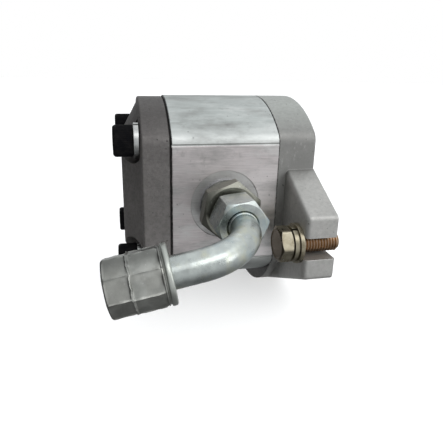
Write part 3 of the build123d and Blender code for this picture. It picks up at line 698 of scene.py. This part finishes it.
def add_nut():
    """Swivel nut: hexagon turned at both ends, bored for the tube."""
    near, far = reach("swivel_nut", "Y")
    turn, flats, face = math.radians(7), 22.0, 10.6
    wall, thread_radius, hole = 4.0, 9.0, 7.1
    bore = [(far, hole + 0.5), (far - 0.5, hole), (far - wall, hole), (far - wall, thread_radius),
            (near + 0.7, thread_radius), (near, thread_radius + 0.7)]
    bm = bmesh.new()
    rings = hexagon_rings(port, flats, near, far, face, face, turn)
    rings += lathe_rings(port, bore, HEXAGON_SEGMENTS, turn)
    skin(bm, rings, joined=True)
    soften(bm, 0.07, limit=40)
    make_piece("swivel_nut_turned", bm, "bright_zinc", "swivel_nut", smooth=24)


def add_adapter():
    """Port adapter: screwed stud, collar, hexagon and the thread that takes the nut."""
    near, far = reach("port_adapter", "Y")
    turn = math.radians(19.5)
    flats, near_face, far_face = 27.5, 13.2, 12.9
    bore, stud, collar, spigot, cone = 5.0, 10.4, 12.9, 8.9, 7.6
    stud_end, undercut_from, collar_from, hex_near, hex_far = 44.0, 44.6, 46.5, 50.5, 58.9
    cone_floor = 65.5
    inner_end = [(near, bore), (near, stud - 1.2), (near + 1.2, stud), (stud_end, stud),
                 (undercut_from, stud - 1), (collar_from, stud - 1), (collar_from, collar),
                 (hex_near, collar)]
    outer_end = [(hex_far, spigot - 1.1), (hex_far + 1.6, spigot - 1.1), (hex_far + 2.6, spigot),
                 (far - 0.6, spigot), (far, spigot - 0.6), (far, cone), (cone_floor, cone),
                 (cone_floor, bore)]
    bm = bmesh.new()
    rings = lathe_rings(port, inner_end, HEXAGON_SEGMENTS, turn)
    rings += hexagon_rings(port, flats, hex_near, hex_far, near_face, far_face, turn)
    rings += lathe_rings(port, outer_end, HEXAGON_SEGMENTS, turn)
    skin(bm, rings, joined=True)
    soften(bm, 0.07, limit=40)
    make_piece("port_adapter_turned", bm, "olive_zinc", "port_adapter", smooth=24)


def elbow_path(seat):
    """Points, directions and lengths along the elbow's middle line, from its cone to its tail."""
    before, within, after = 13, 36, 8    # steps before, in and after the bend
    straight = leg_reach - bend
    corner = leg.origin + leg.axis * bend + Vector((0, bend, 0))
    yield port.origin + port.axis * seat, port.axis, seat
    for step in range(1, before + 1):
        along = seat + (straight - seat) * step / before
        yield port.origin + port.axis * along, port.axis, along
    for step in range(1, within + 1):
        turn = TURN / 4 * step / within
        spot = corner + port.axis * (bend * math.sin(turn)) - leg.axis * (bend * math.cos(turn))
        yield spot, port.axis * math.cos(turn) + leg.axis * math.sin(turn), straight + bend * turn
    for step in range(1, after + 1):
        along = bend + (tail_from - bend) * step / after
        yield leg.origin + leg.axis * along, leg.axis, straight + bend * (TURN / 4 - 1) + along


def add_elbow():
    """Bent tube with a shoulder in the nut, a bead at the nut's mouth and a barbed tail."""
    seat = reach("elbow_tube", "Y")[0]
    straight = leg_reach - bend
    tube, bore, bead, shoulder, neck = 6.35, 4.7, 6.95, 7.4, 6.2
    tail, tail_bore, tail_end = 4.5, 3.2, leg_end - 1.5
    first_barb, barb_pitch = 44, 4.2
    across = port.axis.cross(leg.axis)

    def ring(spot, direction, radius, squash=0.0):
        inward = across.cross(direction)
        wide, deep = radius * (1 + squash), radius * (1 - squash)
        points = []
        for i in range(TUBE_SEGMENTS):
            angle = TURN * i / TUBE_SEGMENTS
            points.append((spot + across * (wide * math.cos(angle))
                           + inward * (deep * math.sin(angle))) * MM)
        return points

    outer, inner = [], []
    for spot, direction, length in elbow_path(seat):
        turn = min(max((length - straight) / bend, 0), TURN / 4)
        squash = 0.022 * math.sin(2 * turn) ** 2
        if length > straight - 1e-6:
            outer.append(ring(spot, direction, tube, squash))
        inner.append(ring(spot, direction, bore, squash))
    head = [(seat, 6.9), (seat + 0.5, shoulder), (seat + 1, shoulder), (seat + 1, neck),
            (seat + 3, neck), (seat + 3, shoulder), (seat + 6.4, shoulder), (seat + 7, bead),
            (straight - 1.4, bead), (straight - 0.8, bead - 0.1), (straight - 0.5, bead - 0.4),
            (straight - 0.45, tube)]
    start = [ring(port.origin + port.axis * along, port.axis, radius) for along, radius in head]
    barbs = [(tail_from, tube - 0.4), (tail_from + 0.5, tail)]
    for barb in range(3):
        root = first_barb + barb_pitch * barb
        barbs += [(root, tail), (root + 0.1, tail + 0.3), (root + 1.6, tail)]
    barbs += [(tail_end - 0.6, tail), (tail_end, tail - 0.5), (tail_end, tail_bore + 0.4),
              (tail_end - 0.4, tail_bore), (tail_from, tail_bore)]
    end = [ring(leg.origin + leg.axis * along, leg.axis, radius) for along, radius in barbs]
    bm = bmesh.new()
    skin(bm, start + outer + end + inner[::-1], joined=True)
    soften(bm, 0.1)
    make_piece("elbow_tube_bent", bm, "bright_zinc", "elbow_tube")


def add_ferrule():
    """Crimped ferrule: round rim at the tube, a groove, then eight die marks in two steps."""
    start = leg_end - ferrule_length
    segments, dies = 256, 8
    outside, step_at, first_ridge = 11.75, 14.9, -0.08
    half_die = TURN / dies / 2
    apothem = math.cos(half_die)

    def ring(place, radius):
        return [leg.at(radius, TURN * i / segments, start + place) for i in range(segments)]

    def crimped(place, radius, share, ridge, shift=0.0, ragged=0.0):
        """Ring with flats and a thin fin where two dies meet.

        share is how flat the flats are, shift turns them and ragged sways the ring lengthways.
        """
        points = []
        for i in range(segments):
            angle = TURN * i / segments
            wander = 0.006 * math.sin(0.9 * place + 2 * angle)
            turn = (angle + wander + half_die) % (2 * half_die) - half_die
            flat = apothem / math.cos(half_die - abs(turn))
            wave = (0.03 * math.sin(3 * angle + 0.5 * place)
                    + 0.02 * math.sin(7 * angle - 0.3 * place))
            fin = (ridge * math.exp(-(turn * outside / 0.30) ** 2)
                   * (1 + 0.3 * math.sin(1.1 * place + 5 * angle)))
            reached = min(radius * (1 + share * (flat - 1)) + fin + wave, outside)
            sway = (0.20 * math.sin(5 * angle + 1) + 0.11 * math.sin(13 * angle)
                    + 0.07 * math.sin(29 * angle))
            points.append(leg.at(reached, angle + first_ridge + shift,
                                 start + place + ragged * sway))
        return points

    rim = [(0.35, 6.9), (0.2, 8.2), (0.0, 9.6), (0.0, 10.7), (0.12, 11.25), (0.4, 11.58),
           (0.8, 11.72), (1.4, 11.75), (1.9, 11.72), (2.2, 11.6), (2.4, 11.3), (2.5, 10.95),
           (2.75, 10.9)]
    ridge_and_run_in = [(2.9, 11.25, 0.05, 0.0), (3.15, 11.45, 0.1, 0.02),
                        (3.45, 11.45, 0.15, 0.02), (3.7, 11.25, 0.4, 0.02),
                        (4.0, 11.35, 0.65, 0.1), (4.5, 11.42, 0.8, 0.3)]
    first_dies = [(5.0 + (step_at - 5.7) * step / 20, 11.42, 0.86, 0.33) for step in range(21)]
    die_step = [(step_at - 0.45, 11.6, 0.7, 0.2, 0, 0.6), (step_at - 0.15, 11.7, 0.25, 0.15, 0, 1),
                (step_at + 0.05, 11.72, 0.15, 0.1, 0, 1), (step_at + 0.2, 11.3, 0.7, 0.1, 0.02, 1),
                (step_at + 0.6, 11.25, 0.88, 0.2, 0.03, 0.5)]
    second_dies = [(step_at + 0.9 + 7.3 * step / 15, 11.2, 0.85, 0.30, 0.03)
                   for step in range(16)]
    end = [(23.5, 11.2, 0.7, 0.15, 0.03), (ferrule_length, 10.8, 0.5, 0.0, 0.03)]
    inside = [(ferrule_length, 9.9), (23.7, 9.7), (4.0, 9.7), (4.0, 6.45), (0.6, 6.45)]
    rings = [ring(*row) for row in rim]
    rings += [crimped(*row) for row in ridge_and_run_in + first_dies + die_step + second_dies + end]
    rings += [ring(*row) for row in inside]
    bm = bmesh.new()
    skin(bm, rings, joined=True)
    make_piece("crimp_ferrule_pressed", bm, "dull_zinc", "crimp_ferrule", smooth=40)


def add_port_thread():
    """Screw thread of the suction port, let into the wall of its bore."""
    crest, pitch, hidden = 12.06, 1.814, 0.3
    spotface, first_thread, last_thread = 0.5, 0.6, 14.5
    bore = mounts["suction_port"]["dims"]["r_mm"]
    suction = Spindle((port_x, 0, port_z), (0, 1, 0), (1, 0, 0))
    face = max(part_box("pump_body")[1].y, 0) / MM - spotface
    bm = bmesh.new()
    thread(bm, suction, face - last_thread, face - first_thread, crest, bore - crest, pitch,
           segments=TUBE_SEGMENTS, inward=True)
    weld(bm)
    rims = [edge for edge in bm.edges if edge.is_boundary]
    for vertex in {vertex for edge in rims for vertex in edge.verts}:
        outward = vertex.co - suction.origin * MM
        outward -= suction.axis * outward.dot(suction.axis)
        vertex.co += outward.normalized() * hidden * MM
    bmesh.ops.bridge_loops(bm, edges=rims)
    make_piece("suction_port_thread", bm, "extruded_body", smooth=30)


def add_garter_spring():
    """Closed coil spring that holds the seal's lip to the shaft."""
    low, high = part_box("garter_spring")
    coil_outside = (high.x - low.x) / 2 / MM
    ring_radius = (high.z - low.z) / 2 / MM - coil_outside
    wire, coils, per_coil, sides = 0.17, 84, 12, 6
    spindle = Spindle(((low.x + high.x) / 2 / MM, 0, 0), (1, 0, 0), (0, 1, 0))
    coil = coil_outside - wire
    turns = [TURN * i / sides for i in range(sides)]

    def centre(step):
        angle, turn = TURN * step / (coils * per_coil), TURN * step / per_coil
        return spindle.at(ring_radius + coil * math.cos(turn), angle, coil * math.sin(turn))

    rings = []
    for step in range(coils * per_coil):
        along = (centre(step + 0.5) - centre(step - 0.5)).normalized()
        out = spindle.at(1, TURN * step / (coils * per_coil), 0) - spindle.origin * MM
        first = along.cross(out).normalized()
        second = along.cross(first)
        rings.append([centre(step) + (first * math.cos(turn) + second * math.sin(turn))
                      * wire * MM for turn in turns])
    bm = bmesh.new()
    skin(bm, rings, joined=True)
    make_piece("garter_spring_coiled", bm, "spring_steel", "garter_spring", smooth=80)


add_nut()
add_adapter()
add_elbow()
add_ferrule()
add_port_thread()
add_garter_spring()


# ==== screws and washers ====================================================================
screw_pitch = 1.5
spring_inner, spring_outer, spring_gap = 5.2, 9.0, 0.9


def add_mounting_hardware():
    """Hexagon screws, spring washers and flat washers in the slots of the flange."""
    seat_front, seat_rear = reach("mounting_flat_washers", "X")
    spring_rear = reach("mounting_spring_washers", "X")[1]
    low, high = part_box("mounting_bolts")
    head_top, tip = -low.x / MM, -high.x / MM
    spacing = mounts["mounting_studs"]["dims"]["pcd_mm"] / 2
    hexagon_from = spring_rear + 0.3
    head_flats, near_face, far_face = 16.0, 8.0, 7.5
    thread_radius, flat_inner, flat_outer = 4.97, 5.3, 10.0
    underside = [(spring_rear, 7.3), (hexagon_from, 7.5)]
    head_face = [(head_top, 6.9), (head_top - 0.25, 6.5)]
    screws, heads, springs, flats = bmesh.new(), bmesh.new(), bmesh.new(), bmesh.new()
    for side in (-1, 1):
        hole = Spindle((0, side * spacing, 0), (-1, 0, 0), (0, -1, 0))
        rings = lathe_rings(hole, underside, HEXAGON_SEGMENTS)
        rings += hexagon_rings(hole, head_flats, hexagon_from, head_top, near_face, far_face)
        rings += lathe_rings(hole, head_face, HEXAGON_SEGMENTS)
        capped_skin(heads, rings)
        add_screw_thread(screws, hole, tip, spring_rear + 0.5, thread_radius, screw_pitch)
        turned_ring(flats, hole, seat_front, seat_rear, flat_inner, flat_outer)
        split_ring(springs, hole, seat_rear, spring_rear, spring_inner, spring_outer, spring_gap)
    soften(heads, 0.06, limit=40)
    merge(screws, heads)
    soften(flats, 0.18)
    soften(springs, 0.22)
    make_piece("mounting_screws", screws, "yellow_zinc", "mounting_bolts", smooth=24)
    make_piece("mounting_spring_rings", springs, "yellow_zinc", "mounting_spring_washers")
    make_piece("mounting_flat_rings", flats, "yellow_zinc", "mounting_flat_washers")


def add_cover_hardware():
    """Knurled socket screws through the housing, each on a spring washer."""
    seat_front, seat_rear = reach("cover_bolt_washers", "X")
    tip, top = reach("cover_bolts", "X")
    flange_joint = -body_ends[1]
    low, high = map(Vector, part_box("cover_bolts"))
    middle = (low + high) / 2 / MM
    head_radius, knurl_depth, ridges, segments = 8.0, 0.22, 48, 192
    socket_flats, socket_depth, cone_depth = 8.0, 5.0, 6.6
    shank_radius, waist_radius, thread_radius = 4.9, 4.1, 4.88
    offset_y = (high.y - low.y) / 2 / MM - head_radius
    offset_z = (high.z - low.z) / 2 / MM - head_radius
    outline = [(seat_rear, 7.5, 0), (seat_rear + 0.4, 7.9, 0), (seat_rear + 0.9, head_radius, 1),
               (top - 2.0, head_radius, 1), (top - 1.5, head_radius, 0), (top - 0.9, 7.9, 0),
               (top - 0.35, 7.55, 0), (top, 7.0, 0), (top, 5.0, 0)]
    shank = [(seat_rear + 1, shank_radius), (flange_joint + 0.5, shank_radius),
             (flange_joint, waist_radius), (flange_joint - 1, waist_radius)]
    angles = [TURN * i / segments for i in range(segments)]
    heads, screws, springs = bmesh.new(), bmesh.new(), bmesh.new()
    for side in (-1, 1):
        for level in (-1, 1):
            hole = Spindle((0, middle.y + side * offset_y, middle.z + level * offset_z),
                           (-1, 0, 0), (0, -1, 0))
            rings = knurled_rings(hole, knurl_depth, ridges, outline, segments)
            for depth in (0.4, socket_depth):
                rings.append([hole.at(hexagon_radius(socket_flats, angle, 0.1), angle, top - depth)
                              for angle in angles])
            rings.append([hole.at(0.5, angle, top - cone_depth) for angle in angles])
            capped_skin(heads, rings)
            capped_skin(screws, lathe_rings(hole, shank, 64))
            add_screw_thread(screws, hole, tip, flange_joint - 0.4, thread_radius, screw_pitch)
            split_ring(springs, hole, seat_front, seat_rear, spring_inner, spring_outer, spring_gap)
    merge(screws, heads)
    soften(springs, 0.25)
    make_piece("cover_screws", screws, "black_oxide", "cover_bolts", smooth=32)
    make_piece("cover_spring_rings", springs, "spring_steel", "cover_bolt_washers")


add_mounting_hardware()
add_cover_hardware()


# ==== studio ================================================================================
def add_floor():
    """Round pale floor, wide enough to reach the horizon."""
    low, radius, segments = cad_box[0][2], 30.0, 96
    angles = [TURN * i / segments for i in range(segments)]
    bm = bmesh.new()
    bm.faces.new([bm.verts.new((radius * math.cos(angle), radius * math.sin(angle), low))
                  for angle in angles])
    mesh = bpy.data.meshes.new("floor")
    bm.to_mesh(mesh)
    bm.free()
    floor = bpy.data.objects.new("floor", mesh)
    bpy.context.collection.objects.link(floor)
    mesh.materials.append(Finish("floor_white", (0.93, 0.93, 0.93), 0, 0.9).finish())
    floor.visible_glossy = False
    return floor


def add_area(name, place, target, size, power):
    """Rectangular lamp turned to its target."""
    data = bpy.data.lights.new(name, "AREA")
    data.shape = "RECTANGLE"
    data.size, data.size_y = size
    data.energy = power
    light = bpy.data.objects.new(name, data)
    light.location = place
    aim = Vector(target) - Vector(place)
    light.rotation_euler = aim.to_track_quat("-Z", "Y").to_euler()
    bpy.context.collection.objects.link(light)


def add_world():
    """White backdrop, with a grey room around the pump: brighter overhead, dim below and left."""
    below, level, overhead = 0.16, 0.74, 0.30
    left, right = 0.10, 1.0
    world = bpy.data.worlds.new("studio")
    world.use_nodes = True
    tree = world.node_tree

    def ramp(value, start, end, low, high):
        node = tree.nodes.new("ShaderNodeMapRange")
        node.interpolation_type = "SMOOTHSTEP"
        tree.links.new(value, node.inputs["Value"])
        for name, number in (("From Min", start), ("From Max", end),
                             ("To Min", low), ("To Max", high)):
            node.inputs[name].default_value = number
        return node.outputs["Result"]

    def join(operation, first, second):
        node = tree.nodes.new("ShaderNodeMath")
        node.operation = operation
        tree.links.new(first, node.inputs[0])
        tree.links.new(second, node.inputs[1])
        return node.outputs[0]

    split = tree.nodes.new("ShaderNodeSeparateXYZ")
    tree.links.new(tree.nodes.new("ShaderNodeTexCoord").outputs["Generated"], split.inputs[0])
    height = join("ADD", ramp(split.outputs["Z"], -1.0, -0.1, below, level),
                  ramp(split.outputs["Z"], 0.2, 0.95, 0.0, overhead))
    strength = join("MULTIPLY", height, ramp(split.outputs["X"], -0.85, 0.05, left, right))
    room = tree.nodes["Background"]
    tree.links.new(strength, room.inputs["Strength"])
    room.inputs["Color"].default_value = (0.965, 0.985, 1, 1)
    backdrop = tree.nodes.new("ShaderNodeBackground")
    backdrop.inputs["Color"].default_value = (1, 1, 1, 1)
    seen = tree.nodes.new("ShaderNodeMixShader")
    tree.links.new(tree.nodes.new("ShaderNodeLightPath").outputs["Is Camera Ray"], seen.inputs[0])
    tree.links.new(room.outputs[0], seen.inputs[1])
    tree.links.new(backdrop.outputs[0], seen.inputs[2])
    tree.links.new(seen.outputs[0], tree.nodes["World Output"].inputs["Surface"])
    bpy.context.scene.world = world


def add_lights(floor):
    """Two soft boxes on the pump, and a wash that only whitens the floor."""
    middle = (-0.05, 0, 0.01)
    add_area("top_softbox", (0.18, -0.66, 0.70), middle, size=(0.8, 0.45), power=1.55)
    add_area("side_softbox", (0.75, -0.75, 0.25), middle, size=(0.4, 0.5), power=1.0)
    wash = bpy.data.objects.new("floor_wash", bpy.data.lights.new("floor_wash", "SUN"))
    wash.data.energy = 1.9
    wash.data.use_shadow = False
    bpy.context.collection.objects.link(wash)
    only_floor = bpy.data.collections.new("only_floor")
    only_floor.objects.link(floor)
    wash.light_linking.receiver_collection = only_floor


add_world()
add_lights(add_floor())
bpy.context.scene.view_settings.view_transform = "Standard"
